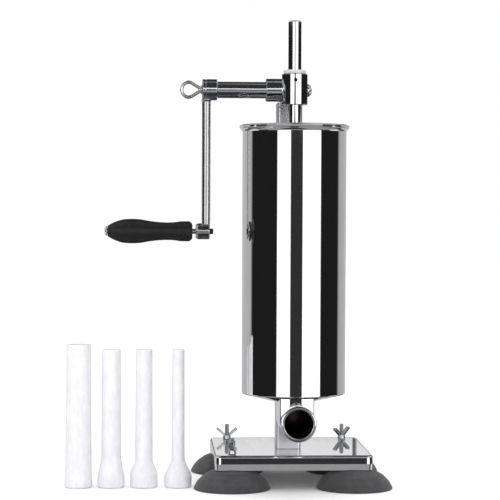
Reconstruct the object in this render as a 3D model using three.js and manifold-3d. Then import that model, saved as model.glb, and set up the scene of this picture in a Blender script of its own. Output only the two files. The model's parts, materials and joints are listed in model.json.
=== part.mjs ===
// Vertical sausage stuffer: a steel barrel on a suction-cup base, a rack-driven piston with a side crank,
// and a set of four loose nozzles. Millimetres, +Z up, +X to the operator's right, +Y to the back.
import * as THREE from 'three';
import { mergeVertices } from 'three/addons/utils/BufferGeometryUtils.js';
import Module from 'manifold-3d';

const wasm = await Module();
wasm.setup();

// ---- Driving dimensions. X = Y = 0 is the barrel's axis, Z = 0 is the table. ----
const GAP = 0.3;
const SHEET = 1.5;

const PLATE = { halfX: 77.5, halfY: 74, midX: 2, midY: 80.5, top: 33.7, skirt: 14.7, corner: 7, bend: 2.5 };
const FOOT = { x: 60, y: 60, radius: 37.5, rimFlat: 1.2, shoulder: 18.6 };
const STUD = { radius: 2.3, bottom: 22.7, top: 49.2 };
const WING = { reach: 13.6, halfWidth: 2.4, halfThickness: 1.3, rise: THREE.MathUtils.degToRad(41) };
const POST = { half: 12.5, corner: 3, y: 69.5, top: 379.2 };
const BARREL = { radius: 50, wall: 1, bottom: 95.3, top: 354.1, floor: 87.7, floorRadius: 20, hole: 14.9 };
const HOOK_LEVELS = { upper: 302, lower: 134 };
const OUTLET = { radius: 15.7, wall: 1.5, z: 72.7, front: -68, lipRadius: 16.8, mouth: 13.2 };
const THROAT = { half: 16.4, wall: 1.5, frontRadius: 49.8 };
const SLEEVE = { radius: 12.3, bottom: 373.2, top: 402.8, bore: 8.9 };
const SHAFT = { y: 11.25, z: 387.9, radius: 4.5, right: 3.2 };
const COLLAR = { radius: 11.2, bore: 9.4 };
const CRANK = { armX: -85, radius: 136.8, bar: 4.25, hubRadius: 10.3, hubLeft: -88.6, hubRight: -74.3 };
const LOOP = { wire: 1.7, centre: -101.9, halfLength: 6.6, halfHeight: 7.2, root: -90.6, rootGap: 1.4 };
const ROD = { radius: 6.25, top: 454, shoulder: 156, stub: 4, stubEnd: 131.2 };
const PISTON = { bottom: 139.7, thick: 8, radius: 47.2, hubRadius: 13, hubTop: 155.7, sealRadius: 48.4 };
const GEAR = { module: 1.25, teeth: 12, pressure: THREE.MathUtils.degToRad(25), halfWidth: 5.2, slack: 0.1 };
const RACK = { gapsBelow: 57, gapsAbove: 13 };
const NOZZLES = [
  { name: 'wide', x: -208, height: 140, tip: 12, neck: 13.1, flareEnd: 5, flareStart: 12, base: 13.5 },
  { name: 'medium', x: -176, height: 135, tip: 9.2, neck: 9.8, flareEnd: 9, flareStart: 28, base: 13.3 },
  { name: 'small', x: -144, height: 135, tip: 8.2, neck: 8.7, flareEnd: 14, flareStart: 25, base: 13.5 },
  { name: 'narrow', x: -110.5, height: 135, tip: 6.1, neck: 6.5, flareEnd: 11, flareStart: 26, base: 13.5 },
];
const NOZZLE_Y = 35;
const NOZZLE_WALL = 1.2;

// ---- Finishes: a fresh material for every mesh. ----
const finishes = {
  steel: () => new THREE.MeshStandardMaterial({ color: 0xd8dadd, roughness: 0.12, metalness: 1 }),
  zinc: () => new THREE.MeshStandardMaterial({ color: 0xc4c8cc, roughness: 0.28, metalness: 1 }),
  rubber: () => new THREE.MeshStandardMaterial({ color: 0x55565a, roughness: 0.8, metalness: 0 }),
  blackPlastic: () => new THREE.MeshStandardMaterial({ color: 0x161616, roughness: 0.35, metalness: 0 }),
  nylon: () => new THREE.MeshStandardMaterial({ color: 0xd6d6d3, roughness: 0.5, metalness: 0 }),
  whitePlastic: () => new THREE.MeshStandardMaterial({ color: 0xf2f2f6, roughness: 0.35, metalness: 0 }),
  silicone: () => new THREE.MeshStandardMaterial({ color: 0xf0f0ea, roughness: 0.5, metalness: 0 }),
};

const machine = new THREE.Group();

function add(name, shape, finish) {
  const geometry = shape instanceof THREE.BufferGeometry ? shape : toGeometry(shape);
  const mesh = new THREE.Mesh(geometry, finishes[finish]());
  mesh.name = name;
  machine.add(mesh);
}

// ---- Solids for cutting and joining ----
function toSolid(geometry) {
  const bare = geometry.clone();
  bare.deleteAttribute('normal');
  bare.deleteAttribute('uv');
  const merged = mergeVertices(bare, 1e-4);
  const corners = [];
  for (let i = 0; i < merged.index.count; i += 3) {
    const [a, b, c] = [0, 1, 2].map((k) => merged.index.getX(i + k));
    if (a !== b && b !== c && c !== a) corners.push(a, b, c);
  }
  const vertProperties = Float32Array.from(merged.attributes.position.array);
  const triVerts = Uint32Array.from(corners);
  return new wasm.Manifold(new wasm.Mesh({ numProp: 3, vertProperties, triVerts }));
}

function toGeometry(solid) {
  const { vertProperties, triVerts } = solid.getMesh();
  const geometry = new THREE.BufferGeometry();
  geometry.setAttribute('position', new THREE.BufferAttribute(Float32Array.from(vertProperties), 3));
  geometry.setIndex(new THREE.BufferAttribute(Uint32Array.from(triVerts), 1));
  geometry.computeVertexNormals();
  return geometry;
}

const join = (...shapes) => shapes.map(asSolid).reduce((whole, piece) => whole.add(piece));
const cut = (body, ...tools) => tools.map(asSolid).reduce((rest, tool) => rest.subtract(tool), asSolid(body));
const common = (a, b) => asSolid(a).intersect(asSolid(b));

function asSolid(shape) {
  return shape instanceof THREE.BufferGeometry ? toSolid(shape) : shape;
}

// ---- Basic shapes, each made where it belongs ----
function block([x0, x1], [y0, y1], [z0, z1]) {
  const box = new THREE.BoxGeometry(x1 - x0, y1 - y0, z1 - z0);
  return box.translate((x0 + x1) / 2, (y0 + y1) / 2, (z0 + z1) / 2);
}

// A turned solid: profile points are [radius, distance along the axis], listed anticlockwise.
function turned(profile, sides = 16) {
  const points = profile.map(([radius, along]) => new THREE.Vector2(radius, along));
  return new THREE.LatheGeometry(points, sides).rotateX(Math.PI / 2);
}

const turnedOnX = (profile, sides) => turned(profile, sides).rotateY(Math.PI / 2);
const turnedOnShaft = (profile, sides) => turnedOnX(profile, sides).translate(0, SHAFT.y, SHAFT.z);

function rod(radius, [z0, z1], [x, y] = [0, 0], sides = 16) {
  const cylinder = new THREE.CylinderGeometry(radius, radius, z1 - z0, sides).rotateX(Math.PI / 2);
  return cylinder.translate(x, y, (z0 + z1) / 2);
}

function rodOnX(radius, [x0, x1], [y, z] = [SHAFT.y, SHAFT.z], sides = 16) {
  const cylinder = new THREE.CylinderGeometry(radius, radius, x1 - x0, sides).rotateZ(Math.PI / 2);
  return cylinder.translate((x0 + x1) / 2, y, z);
}

// A square bar along the shaft's axis.
function blockOnShaft(half, span) {
  return block(span, [SHAFT.y - half, SHAFT.y + half], [SHAFT.z - half, SHAFT.z + half]);
}

function rodOnY(radius, [y0, y1], [x, z], sides = 16) {
  const cylinder = new THREE.CylinderGeometry(radius, radius, y1 - y0, sides);
  return cylinder.translate(x, (y0 + y1) / 2, z);
}

const ring = (inner, outer, [z0, z1], sides = 16) =>
  turned([[inner, z0], [outer, z0], [outer, z1], [inner, z1], [inner, z0]], sides);
const ringOnShaft = (inner, outer, [x0, x1], sides = 16) =>
  turnedOnShaft([[inner, x0], [outer, x0], [outer, x1], [inner, x1], [inner, x0]], sides);

function roundedOutline(halfX, halfY, corner) {
  const outline = new THREE.Shape();
  outline.absarc(halfX - corner, halfY - corner, corner, 0, Math.PI / 2);
  outline.absarc(corner - halfX, halfY - corner, corner, Math.PI / 2, Math.PI);
  outline.absarc(corner - halfX, corner - halfY, corner, Math.PI, 1.5 * Math.PI);
  outline.absarc(halfX - corner, corner - halfY, corner, 1.5 * Math.PI, 2 * Math.PI);
  outline.closePath();
  return outline;
}

function pad(halfX, halfY, corner, [z0, z1], y, curveSegments = 2) {
  const outline = roundedOutline(halfX, halfY, corner);
  const solid = new THREE.ExtrudeGeometry(outline, { depth: z1 - z0, bevelEnabled: false, curveSegments });
  return solid.translate(0, y, z0);
}

// A plate whose top edge is bent round with the given radius; it starts below z0 and is cut there.
function bentPlate(halfX, halfY, corner, bend, [z0, z1]) {
  const options = {
    depth: z1 - z0,
    bevelThickness: bend,
    bevelSize: bend,
    bevelOffset: -bend,
    bevelSegments: 2,
    curveSegments: 3,
  };
  const solid = new THREE.ExtrudeGeometry(roundedOutline(halfX, halfY, corner), options);
  solid.translate(PLATE.midX, PLATE.midY, z0 - bend);
  const below = block([-100, 100], [PLATE.midY - 100, PLATE.midY + 100], [z0 - 2 * bend - 1, z0]);
  return cut(solid, below);
}

const feet = [];
for (const [side, sx] of [['left', -1], ['right', 1]]) {
  for (const [end, sy] of [['front', -1], ['rear', 1]]) {
    feet.push({ name: `${end}_${side}`, x: PLATE.midX + sx * FOOT.x, y: PLATE.midY + sy * FOOT.y });
  }
}

// ---- Base plate, suction cups, studs and wing nuts ----
function addBase() {
  const skirtBottom = PLATE.top - PLATE.skirt;
  const outside = bentPlate(PLATE.halfX, PLATE.halfY, PLATE.corner, PLATE.bend, [skirtBottom, PLATE.top]);
  const inside = bentPlate(
    PLATE.halfX - SHEET,
    PLATE.halfY - SHEET,
    PLATE.corner - SHEET,
    PLATE.bend - SHEET,
    [skirtBottom - 3, PLATE.top - SHEET],
  );
  const stackHole = (x, y) => rod(2.8, [PLATE.top - 5, PLATE.top + 1], [x, y], 12);
  const studHoles = feet.map(({ x, y }) => stackHole(x, y));
  const screwHoles = postScrewPlaces.map(([x, y]) => stackHole(x, y));
  add('base_plate', cut(outside, inside, ...studHoles, ...screwHoles), 'steel');
  feet.forEach(addFoot);
}

function addFoot({ name, x, y }) {
  const r = FOOT.radius;
  const seat = PLATE.top - SHEET - GAP;
  const hollow = [[0, 8.5], [16, 7.4], [r - 3, 0.6], [r - FOOT.rimFlat, 0]];
  const outside = [[r - 0.2, 0], [r, 1.4], [r - 3, 7.5], [r - 9, 13], [r - 16, 17.2]];
  const crown = [[14, FOOT.shoulder], [10.5, FOOT.shoulder + 0.8], [10, seat]];
  const socket = [[STUD.radius + GAP, seat], [STUD.radius + GAP, STUD.bottom - GAP], [0, STUD.bottom - GAP]];
  const cup = turned([...hollow, ...outside, ...crown, ...socket], 20);
  add(`suction_cup_${name}`, cup.translate(x, y, 0), 'rubber');
  const { radius, bottom, top } = STUD;
  const stud = [[0, bottom], [radius, bottom], [radius, top - 0.7], [radius - 0.7, top], [0, top]];
  add(`stud_${name}`, turned(stud, 12).translate(x, y, 0), 'zinc');
}

// A wing nut with two bar-like wings that rise steeply from a small round hub.
function addWingNut(place, turn) {
  const { x, y } = feet.find((foot) => foot.name === place);
  const seat = PLATE.top + GAP;
  const hub = turned([[0, 0], [4.4, 0], [3.7, 4.2], [0, 4.2]], 16);
  const { reach, halfWidth, halfThickness, rise } = WING;
  const bar = block([2, reach], [-halfWidth, halfWidth], [-halfThickness, halfThickness]);
  const wing = bar.rotateY(-rise).translate(0, 0, 2);
  const otherWing = wing.clone().rotateZ(Math.PI);
  const floor = block([-14, 14], [-14, 14], [-5, 0]);
  const bore = rod(STUD.radius + GAP, [-1, 20], [0, 0], 12);
  const nut = toGeometry(cut(join(hub, wing, otherWing), bore, floor));
  add(`wing_nut_${place}`, nut.rotateZ(THREE.MathUtils.degToRad(turn)).translate(x, y, seat), 'zinc');
}

// ---- Post with its foot block, cap block and screws ----
const postScrewPlaces = [-6, 6].map((dy) => [0, POST.y + dy]);
const capScrewX = 8.2;
const capScrewZ = POST.top - 4.5;

function addPost() {
  const innerHalf = POST.half - SHEET;
  const blockHalf = innerHalf - GAP;
  const blockCorner = POST.corner - SHEET;
  const foot = PLATE.top + GAP;
  const front = POST.y - POST.half;
  const outside = pad(POST.half, POST.half, POST.corner, [foot, POST.top], POST.y);
  const inside = pad(innerHalf, innerHalf, blockCorner, [foot - 1, POST.top + 1], POST.y);
  const holeAt = (x, depth) => rodOnY(1.6, [front - 1, front + depth], [x, capScrewZ], 12);
  const frontHoles = [-capScrewX, capScrewX].map((x) => holeAt(x, 2));
  add('support_post', cut(outside, inside, ...frontHoles), 'steel');

  const footBlock = pad(blockHalf, blockHalf, blockCorner, [foot, foot + 28], POST.y);
  const footHoles = postScrewPlaces.map((place) => rod(2.7, [foot - 1, foot + 23], place, 16));
  add('post_foot_block', cut(footBlock, ...footHoles), 'zinc');
  postScrewPlaces.forEach((place, i) => {
    const headTop = PLATE.top - SHEET - GAP;
    const head = rod(4.2, [headTop - 3.5, headTop], place, 6);
    add(`post_foot_screw_${i + 1}`, join(head, rod(2.4, [headTop - 1, foot + 21], place, 16)), 'zinc');
  });

  const capBlock = pad(blockHalf, blockHalf, blockCorner, [POST.top - 26, POST.top - GAP], POST.y);
  const tapped = [-capScrewX, capScrewX].map((x) => holeAt(x, 9));
  const boltHole = rod(3, [POST.top - 30, POST.top + 1], [0, POST.y], 16);
  add('post_cap_block', cut(capBlock, boltHole, ...tapped), 'zinc');
  [['left', -capScrewX], ['right', capScrewX]].forEach(([side, x]) => {
    const profile = [[0, -7.5], [1.3, -7.5], [1.3, GAP], [2.3, GAP], [2, 1.2], [1.1, 1.8], [0, 2]];
    const screw = turned(profile, 12).rotateX(Math.PI / 2).translate(x, front, capScrewZ);
    add(`post_cap_screw_${side}`, screw, 'zinc');
  });
}

// ---- Gear housing on the post, with bushes, bearing tube and fixings ----
const setScrewZ = SHAFT.z + 8.8;
const armBottom = POST.top + GAP;
const armTop = 396.7;

function addHousing() {
  const sleeve = rod(SLEEVE.radius, [SLEEVE.bottom, SLEEVE.top], [0, 0], 24);
  const gearBox = block([-11, 12], [0, 23], [SHAFT.z - 12.4, SHAFT.z + 12.4]);
  const collar = rodOnX(COLLAR.radius, [-27, -8], undefined, 24);
  const arm = block([-8, 8], [20, POST.y + 11.5], [armBottom, armTop]);
  const housing = cut(
    join(sleeve, gearBox, collar, arm),
    rod(SLEEVE.bore, [SLEEVE.bottom - 1, SLEEVE.top + 1], [0, 0], 24),
    rodOnX(COLLAR.bore, [-28, 7], undefined, 24),
    rodOnX(5, [6, 13]),
    rodOnY(1.75, [-SLEEVE.radius - 1, -SLEEVE.bore + 1], [0, setScrewZ], 10),
    rod(3, [armBottom - 1, armTop + 1], [0, POST.y], 16),
  );
  add('gear_housing', housing, 'steel');

  const tube = [[6.2, -73.9], [8, -73.9], [8, -27.3], [9.05, -27.3], [9.05, -10], [6.2, -10], [6.2, -73.9]];
  add('shaft_tube', turnedOnShaft(tube, 20), 'steel');
  add('shaft_bush_outer', ringOnShaft(SHAFT.radius + 0.25, 5.9, [-73.6, -60]), 'nylon');
  add('shaft_bush_inner', ringOnShaft(SHAFT.radius + 0.25, 5.9, [-24, -10.3]), 'nylon');
  add('shaft_bush_right', ringOnShaft(SHAFT.right + 0.25, 4.65, [7.2, 11.8]), 'nylon');

  const bushBore = ROD.radius + 0.3;
  const bushRadius = SLEEVE.bore - GAP;
  const [flange, flangeBottom, flangeTop] = [10.75, SLEEVE.top + GAP, SLEEVE.top + 3.8];
  const upper = [
    [bushBore, SHAFT.z + 9.2],
    [bushRadius, SHAFT.z + 9.2],
    [bushRadius, flangeBottom],
    [flange, flangeBottom],
    [flange, flangeTop - 0.6],
    [flange - 0.6, flangeTop],
    [bushBore, flangeTop],
    [bushBore, SHAFT.z + 9.2],
  ];
  add('rod_bush_upper', turned(upper, 20), 'nylon');
  add('rod_bush_lower', ring(bushBore, bushRadius, [SLEEVE.bottom + GAP, SLEEVE.bottom + 4.2], 20), 'nylon');

  const setScrew = rodOnY(1.45, [-SLEEVE.radius + 1.2, -bushRadius - GAP], [0, setScrewZ], 12);
  add('sleeve_set_screw', setScrew, 'zinc');
  const boltHead = rod(5.6, [armTop + GAP, armTop + 4.8], [0, POST.y], 6);
  const boltShank = rod(2.6, [POST.top - 22, armTop + 1], [0, POST.y], 16);
  add('housing_bolt', join(boltHead, boltShank), 'zinc');
}

// ---- Barrel with its cone bottom, the outlet under it and the brackets behind ----
function addBarrel() {
  const { radius: r, wall, bottom, top, floor, floorRadius, hole } = BARREL;
  const lip = 3;
  const outer = [[hole, floor], [floorRadius, floor], [r - 1.6, bottom - 0.9], [r, bottom + 0.8]];
  const rim = [[r, top - 6.5], [r + 1.1, top - 4.6], [r + lip, top - 3.4], [r + lip, top - 0.9]];
  const mouth = [[r + lip - 0.9, top], [r + 1.3, top], [r - wall, top - 2.6]];
  const inner = [[r - wall, bottom + 1.1], [r - 2, bottom + 0.2], [floorRadius, floor + wall]];
  const holeEdge = [[hole, floor + wall], [hole, floor]];
  add('barrel', turned([...outer, ...rim, ...mouth, ...inner, ...holeEdge], 36), 'steel');
  for (const [level, z] of Object.entries(HOOK_LEVELS)) {
    addBarrelHook(level, z);
  }
}

// A T-shaped tongue on the back of the barrel drops into a slotted keeper on the post.
function addBarrelHook(level, z) {
  const r = BARREL.radius + GAP;
  const saddle = common(ring(r, r + 1.7, [z, z + 20], 36), block([-13, 13], [r - 6, r + 4], [z, z + 20]));
  const neck = block([-2.5, 2.5], [r + 1, 54.8], [z, z + 18]);
  const head = block([-6, 6], [54.4, 55.8], [z, z + 18]);
  add(`barrel_hook_${level}`, join(saddle, neck, head), 'steel');
  const postFront = POST.y - POST.half;
  const body = block([-9, 9], [52.4, postFront - GAP], [z - 3.5, z + 16]);
  const neckSlot = block([-2.9, 2.9], [52, 55], [z - GAP, z + 17]);
  const headSlot = block([-6.4, 6.4], [54, 56.1], [z - GAP, z + 17]);
  add(`barrel_keeper_${level}`, cut(body, neckSlot, headSlot), 'steel');
}

// A U-shaped throat under the barrel, its front flush with the barrel's wall, and a short lipped pipe.
function addOutlet() {
  const { radius, wall, z, front, lipRadius, mouth } = OUTLET;
  const top = BARREL.floor + 10;
  const chamber = (r, frontRadius) =>
    common(
      join(
        rodOnY(r, [-60, 0], [0, z], 24),
        block([-r, r], [-60, 0], [z, top]),
        rod(r, [z, top], [0, 0], 24),
        new THREE.SphereGeometry(r, 24, 10).rotateX(Math.PI / 2).translate(0, 0, z),
      ),
      rod(frontRadius, [z - 30, top + 1], [0, 0], 72),
    );
  const underBarrel = turned([
    [0, BARREL.floor - GAP],
    [BARREL.floorRadius, BARREL.floor - GAP],
    [BARREL.radius - 1.6, BARREL.bottom - 0.9 - GAP],
    [BARREL.radius + 1, BARREL.bottom + 0.6],
    [BARREL.radius + 1, top + 2],
    [0, top + 2],
  ], 36);
  const bore = rodOnY(radius - wall, [-60, -40], [0, z], 24);
  const outside = chamber(THROAT.half, THROAT.frontRadius);
  const inside = chamber(THROAT.half - THROAT.wall, THROAT.frontRadius - THROAT.wall);
  add('outlet_throat', cut(outside, inside, underBarrel, bore), 'steel');

  const pipeOutside = rodOnY(radius, [front + 3, -40], [0, z], 24);
  const pipe = cut(pipeOutside, rodOnY(radius - wall, [front, -30], [0, z], 24));
  const lipProfile = [
    [mouth, 0.8],
    [mouth + 0.6, 0],
    [lipRadius - 1, 0],
    [lipRadius, 1.2],
    [lipRadius - 0.3, 3.4],
    [radius - wall - 0.2, 3.4],
    [mouth, 2.2],
    [mouth, 0.8],
  ];
  const lip = turned(lipProfile, 24).rotateX(-Math.PI / 2).translate(0, front, z);
  const wallBehind = rod(THROAT.frontRadius + GAP, [z - 30, z + 30], [0, 0], 72);
  add('outlet_pipe', cut(join(pipe, lip), wallBehind), 'steel');
}

// ---- Toothed rod and the piston on its lower end ----
const pitchRadius = (GEAR.module * GEAR.teeth) / 2;
const addendum = GEAR.module;
const dedendum = 1.25 * GEAR.module;
const pitchLineY = SHAFT.y - pitchRadius;
const toothPitch = Math.PI * GEAR.module;

function addRack() {
  const { radius, top, shoulder, stub, stubEnd } = ROD;
  const profile = [[0, stubEnd], [stub - 0.6, stubEnd], [stub, stubEnd + 0.6], [stub, shoulder]];
  profile.push([radius, shoulder], [radius, top - 1.2], [radius - 1.2, top], [0, top]);
  add('rack_rod', cut(turned(profile, 16), toothGaps()), 'steel');
}

// The material removed from the rod's back: straight-sided gaps, one tooth pitch apart.
function toothGaps() {
  const tipY = pitchLineY + addendum;
  const rootY = pitchLineY - dedendum;
  const halfAtTip = toothPitch / 4 + addendum * Math.tan(GEAR.pressure) + GEAR.slack / 2;
  const halfAtRoot = toothPitch / 4 - dedendum * Math.tan(GEAR.pressure) + GEAR.slack / 2;
  const outline = new THREE.Shape();
  const lowest = SHAFT.z - (RACK.gapsBelow + 0.5) * toothPitch;
  const highest = SHAFT.z + (RACK.gapsAbove + 0.5) * toothPitch;
  outline.moveTo(ROD.radius + 1, lowest);
  outline.lineTo(ROD.radius + 1, highest);
  outline.lineTo(tipY, highest);
  for (let k = RACK.gapsAbove; k >= -RACK.gapsBelow; k -= 1) {
    const z = SHAFT.z + k * toothPitch;
    outline.lineTo(tipY, z + halfAtTip);
    outline.lineTo(rootY, z + halfAtRoot);
    outline.lineTo(rootY, z - halfAtRoot);
    outline.lineTo(tipY, z - halfAtTip);
  }
  outline.lineTo(tipY, lowest);
  outline.closePath();
  const comb = new THREE.ExtrudeGeometry(outline, { depth: 2 * ROD.radius + 2, bevelEnabled: false });
  // The outline's (x, y) become (Y, Z), and its depth runs along X.
  const toMachine = new THREE.Matrix4().set(0, 0, 1, -ROD.radius - 1, 1, 0, 0, 0, 0, 1, 0, 0, 0, 0, 0, 1);
  return comb.applyMatrix4(toMachine);
}

function addPiston() {
  const { bottom, thick, radius, hubRadius, hubTop, sealRadius } = PISTON;
  const bore = ROD.stub + GAP;
  const grooveRadius = radius - 2.7;
  const edgeBelow = [[bore, bottom], [radius - 1, bottom], [radius, bottom + 1], [radius, bottom + 2]];
  const groove = [[grooveRadius, bottom + 2], [grooveRadius, bottom + 6], [radius, bottom + 6]];
  const edgeAbove = [[radius, bottom + thick - 1], [radius - 1, bottom + thick]];
  const hub = [[hubRadius + 2, bottom + thick], [hubRadius, bottom + thick + 2], [hubRadius, hubTop]];
  const disc = [...edgeBelow, ...groove, ...edgeAbove, ...hub, [bore, hubTop], [bore, bottom]];
  add('piston_disc', turned(disc, 36), 'steel');
  const seal = ring(grooveRadius + 0.4, sealRadius, [bottom + 2 + GAP, bottom + 6 - GAP], 36);
  add('piston_seal', seal, 'silicone');
  add('piston_washer', ring(bore, 9, [bottom - 1.8, bottom - GAP]), 'zinc');
  const nut = cut(rod(7.5, [bottom - 7.3, bottom - 2.1], [0, 0], 6), rod(bore, [bottom - 9, bottom]));
  add('piston_nut', nut, 'zinc');
}

// ---- Crank: shaft, pinion, hub, arm, handle ----
function addShaft() {
  const { radius, right } = SHAFT;
  const [leftEnd, squareEnd, step, rightEnd] = [CRANK.hubLeft + GAP, CRANK.hubRight + 0.1, -5.6, 12];
  const leftPart = [[0, leftEnd], [radius, leftEnd], [radius, step]];
  const rightPart = [[right, step], [right, rightEnd], [0, rightEnd]];
  const square = blockOnShaft(3.4, [leftEnd - 1, squareEnd]);
  const beyond = blockOnShaft(9, [squareEnd, rightEnd + 1]);
  const shaft = common(turnedOnShaft([...leftPart, ...rightPart]), join(square, beyond));
  const holes = [rodOnX(2.3, [leftEnd - 1, leftEnd + 10.5]), rodOnX(1.9, [4, rightEnd + 1])];
  add('drive_shaft', cut(shaft, ...holes), 'zinc');
  const dome = [[0, 5], [1.6, 5], [1.6, 12.4], [6.25, 12.4], [6.25, 13.4], [5.4, 15.4], [3.4, 17], [0, 17.6]];
  add('shaft_end_screw', turnedOnShaft(dome), 'steel');
}

// Twelve involute teeth, thinned for running clearance, with one tooth pointing at the rack.
function addPinion() {
  const baseRadius = pitchRadius * Math.cos(GEAR.pressure);
  const tipRadius = pitchRadius + addendum;
  const rootRadius = pitchRadius - dedendum;
  const involute = (angle) => Math.tan(angle) - angle;
  const halfAtPitch = Math.PI / (2 * GEAR.teeth) - GEAR.slack / 2 / pitchRadius;
  const halfAtBase = halfAtPitch + involute(GEAR.pressure);
  const halfAngle = (r) => halfAtBase - involute(Math.acos(Math.min(1, baseRadius / r)));
  const flankSteps = 3;
  const flank = [[rootRadius, halfAngle(baseRadius)]];
  for (let i = 0; i <= flankSteps; i += 1) {
    const r = baseRadius + ((tipRadius - baseRadius) * i) / flankSteps;
    flank.push([r, halfAngle(r)]);
  }
  const points = [];
  for (let tooth = 0; tooth < GEAR.teeth; tooth += 1) {
    const centre = Math.PI + (2 * Math.PI * tooth) / GEAR.teeth;
    const rising = flank.map(([r, a]) => [r, centre - a]);
    const falling = flank.map(([r, a]) => [r, centre + a]).reverse();
    for (const [r, a] of [...rising, ...falling]) {
      points.push(new THREE.Vector2(r * Math.cos(a), r * Math.sin(a)));
    }
  }
  const outline = new THREE.Shape(points);
  outline.holes.push(new THREE.Path().absarc(0, 0, SHAFT.right + 0.25, 0, 2 * Math.PI));
  const options = { depth: 2 * GEAR.halfWidth, bevelEnabled: false, curveSegments: 8 };
  const gear = new THREE.ExtrudeGeometry(outline, options);
  const toMachine = new THREE.Matrix4().set(0, 0, 1, 0, 1, 0, 0, 0, 0, 1, 0, 0, 0, 0, 0, 1);
  gear.applyMatrix4(toMachine).translate(-GEAR.halfWidth, SHAFT.y, SHAFT.z);
  add('pinion', gear, 'zinc');
}

function addCrank() {
  const { armX, radius, bar, hubRadius: r, hubLeft, hubRight } = CRANK;
  const gripZ = SHAFT.z - radius;
  const leftEdge = [[0, hubLeft], [r - 1, hubLeft], [r, hubLeft + 1]];
  const rightEdge = [[r, hubRight - 0.8], [r - 0.8, hubRight], [0, hubRight]];
  const socket = blockOnShaft(3.75, [hubLeft - 1, hubRight + 1]);
  add('crank_hub', cut(turnedOnShaft([...leftEdge, ...rightEdge], 20), socket), 'steel');

  const place = [armX, SHAFT.y];
  const arm = cut(
    join(rod(bar, [gripZ, SHAFT.z - 5], place), rodOnX(7.75, [-94.6, -81.4], [SHAFT.y, gripZ], 20)),
    rodOnX(r + GAP, [hubLeft - 5, hubRight + 5], undefined, 20),
    rodOnX(2.85, [-100, -70], [SHAFT.y, gripZ]),
  );
  add('crank_arm', arm, 'steel');

  const bolt = [[0, -182.4], [2.4, -182], [4, -181], [4.6, -180], [2.5, -180], [2.5, -81.4], [1.6, -81.4]];
  bolt.push([1.6, -79], [0, -79]);
  const onHandle = (profile, sides) => turnedOnX(profile, sides).translate(0, SHAFT.y, gripZ);
  add('handle_bolt', onHandle(bolt, 16), 'steel');
  const plug = [[0, -78.7], [1.9, -78.7], [1.9, -81.1]];
  const cap = [...plug, [2.75, -81.1], [2.75, -78.2], [2.2, -77.6], [0, -77.6]];
  add('handle_bolt_cap', onHandle(cap, 12), 'blackPlastic');
  add('hand_grip', onHandle(gripProfile(), 20), 'blackPlastic');
}

// The grip swells towards its outer end, narrows in the middle and ends in a collar by the crank.
function gripProfile() {
  const [outerEnd, innerEnd, bore] = [-179.6, -97.8, 2.85];
  const swelling = new THREE.SplineCurve([
    new THREE.Vector2(5, outerEnd),
    new THREE.Vector2(8.6, outerEnd + 6),
    new THREE.Vector2(11.4, outerEnd + 15),
    new THREE.Vector2(11.9, outerEnd + 25),
    new THREE.Vector2(10.1, outerEnd + 40),
    new THREE.Vector2(8.6, outerEnd + 54),
    new THREE.Vector2(8.7, outerEnd + 62),
    new THREE.Vector2(9.5, outerEnd + 70),
  ]);
  const outside = swelling.getPoints(10).map((point) => [point.x, point.y]);
  const collar = [[9.8, innerEnd - 3], [7.8, innerEnd - 0.6], [6.6, innerEnd], [bore, innerEnd]];
  return [[bore, outerEnd], ...outside, ...collar, [bore, outerEnd]];
}

// Thumb screw with a teardrop wire loop: an elliptical end and two straight legs that meet at the collar.
function addClampScrew() {
  const { wire, centre, halfLength, halfHeight, root, rootGap } = LOOP;
  const onEllipse = (angle, side) =>
    new THREE.Vector3(centre + halfLength * Math.cos(angle), 0, side * halfHeight * Math.sin(angle));
  const tangentAngle = Math.acos(halfLength / (root - centre));
  const halfLoop = (side) => {
    const path = new THREE.CurvePath();
    const last = Math.PI + 0.12;
    const arc = [];
    for (let i = 0; i <= 12; i += 1) {
      arc.push(onEllipse(tangentAngle + ((last - tangentAngle) * i) / 12, side));
    }
    path.add(new THREE.LineCurve3(new THREE.Vector3(root, 0, side * rootGap), arc[0].clone()));
    path.add(new THREE.CatmullRomCurve3(arc));
    const section = new THREE.Shape().absarc(0, 0, wire, 0, 2 * Math.PI);
    const options = { steps: 11, bevelEnabled: false, curveSegments: 4, extrudePath: path };
    return new THREE.ExtrudeGeometry(section, options).translate(0, SHAFT.y, SHAFT.z);
  };
  const left = CRANK.hubLeft - GAP;
  const collar = [[0, left - 3], [2.9, left - 3], [3.1, left - 1.4], [4.3, left - 0.5], [4.3, left]];
  collar.push([2, left], [2, left + 10], [0, left + 10]);
  add('clamp_screw', join(turnedOnShaft(collar), halfLoop(1), halfLoop(-1)), 'steel');
}

// ---- Loose nozzles: tapered tubes with a flared seat, standing on the table ----
function addNozzle({ name, x, height, tip, neck, flareEnd, flareStart, base }) {
  const outside = [[base - 0.6, 0], [base, 2], [base, flareEnd]];
  outside.push([(base + neck) / 2 + 0.4, (flareStart + flareEnd) / 2], [neck, flareStart]);
  outside.push([tip, height - 2], [tip - 0.7, height]);
  const wall = NOZZLE_WALL;
  const inside = [[tip - wall, height], [neck - wall, flareStart], [base - wall, flareEnd], [base - wall, 0]];
  const nozzle = turned([...outside, ...inside, outside[0]], 16);
  add(`nozzle_${name}`, nozzle.translate(x, NOZZLE_Y, 0), 'whitePlastic');
}

addBase();
addWingNut('rear_left', 4);
addWingNut('rear_right', 40);
addWingNut('front_left', 82);
addPost();
addHousing();
addBarrel();
addOutlet();
addRack();
addPiston();
addShaft();
addPinion();
addCrank();
addClampScrew();
NOZZLES.forEach(addNozzle);

// The origin is the middle of the bottom of the whole set's box.
const stuffer = new THREE.Group();
stuffer.add(machine);
const extent = new THREE.Box3().setFromObject(machine);
machine.position.set(-(extent.min.x + extent.max.x) / 2, -(extent.min.y + extent.max.y) / 2, -extent.min.z);

export default stuffer;
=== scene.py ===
import json
import math

import bmesh
import bpy
from mathutils import Matrix, Vector


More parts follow.
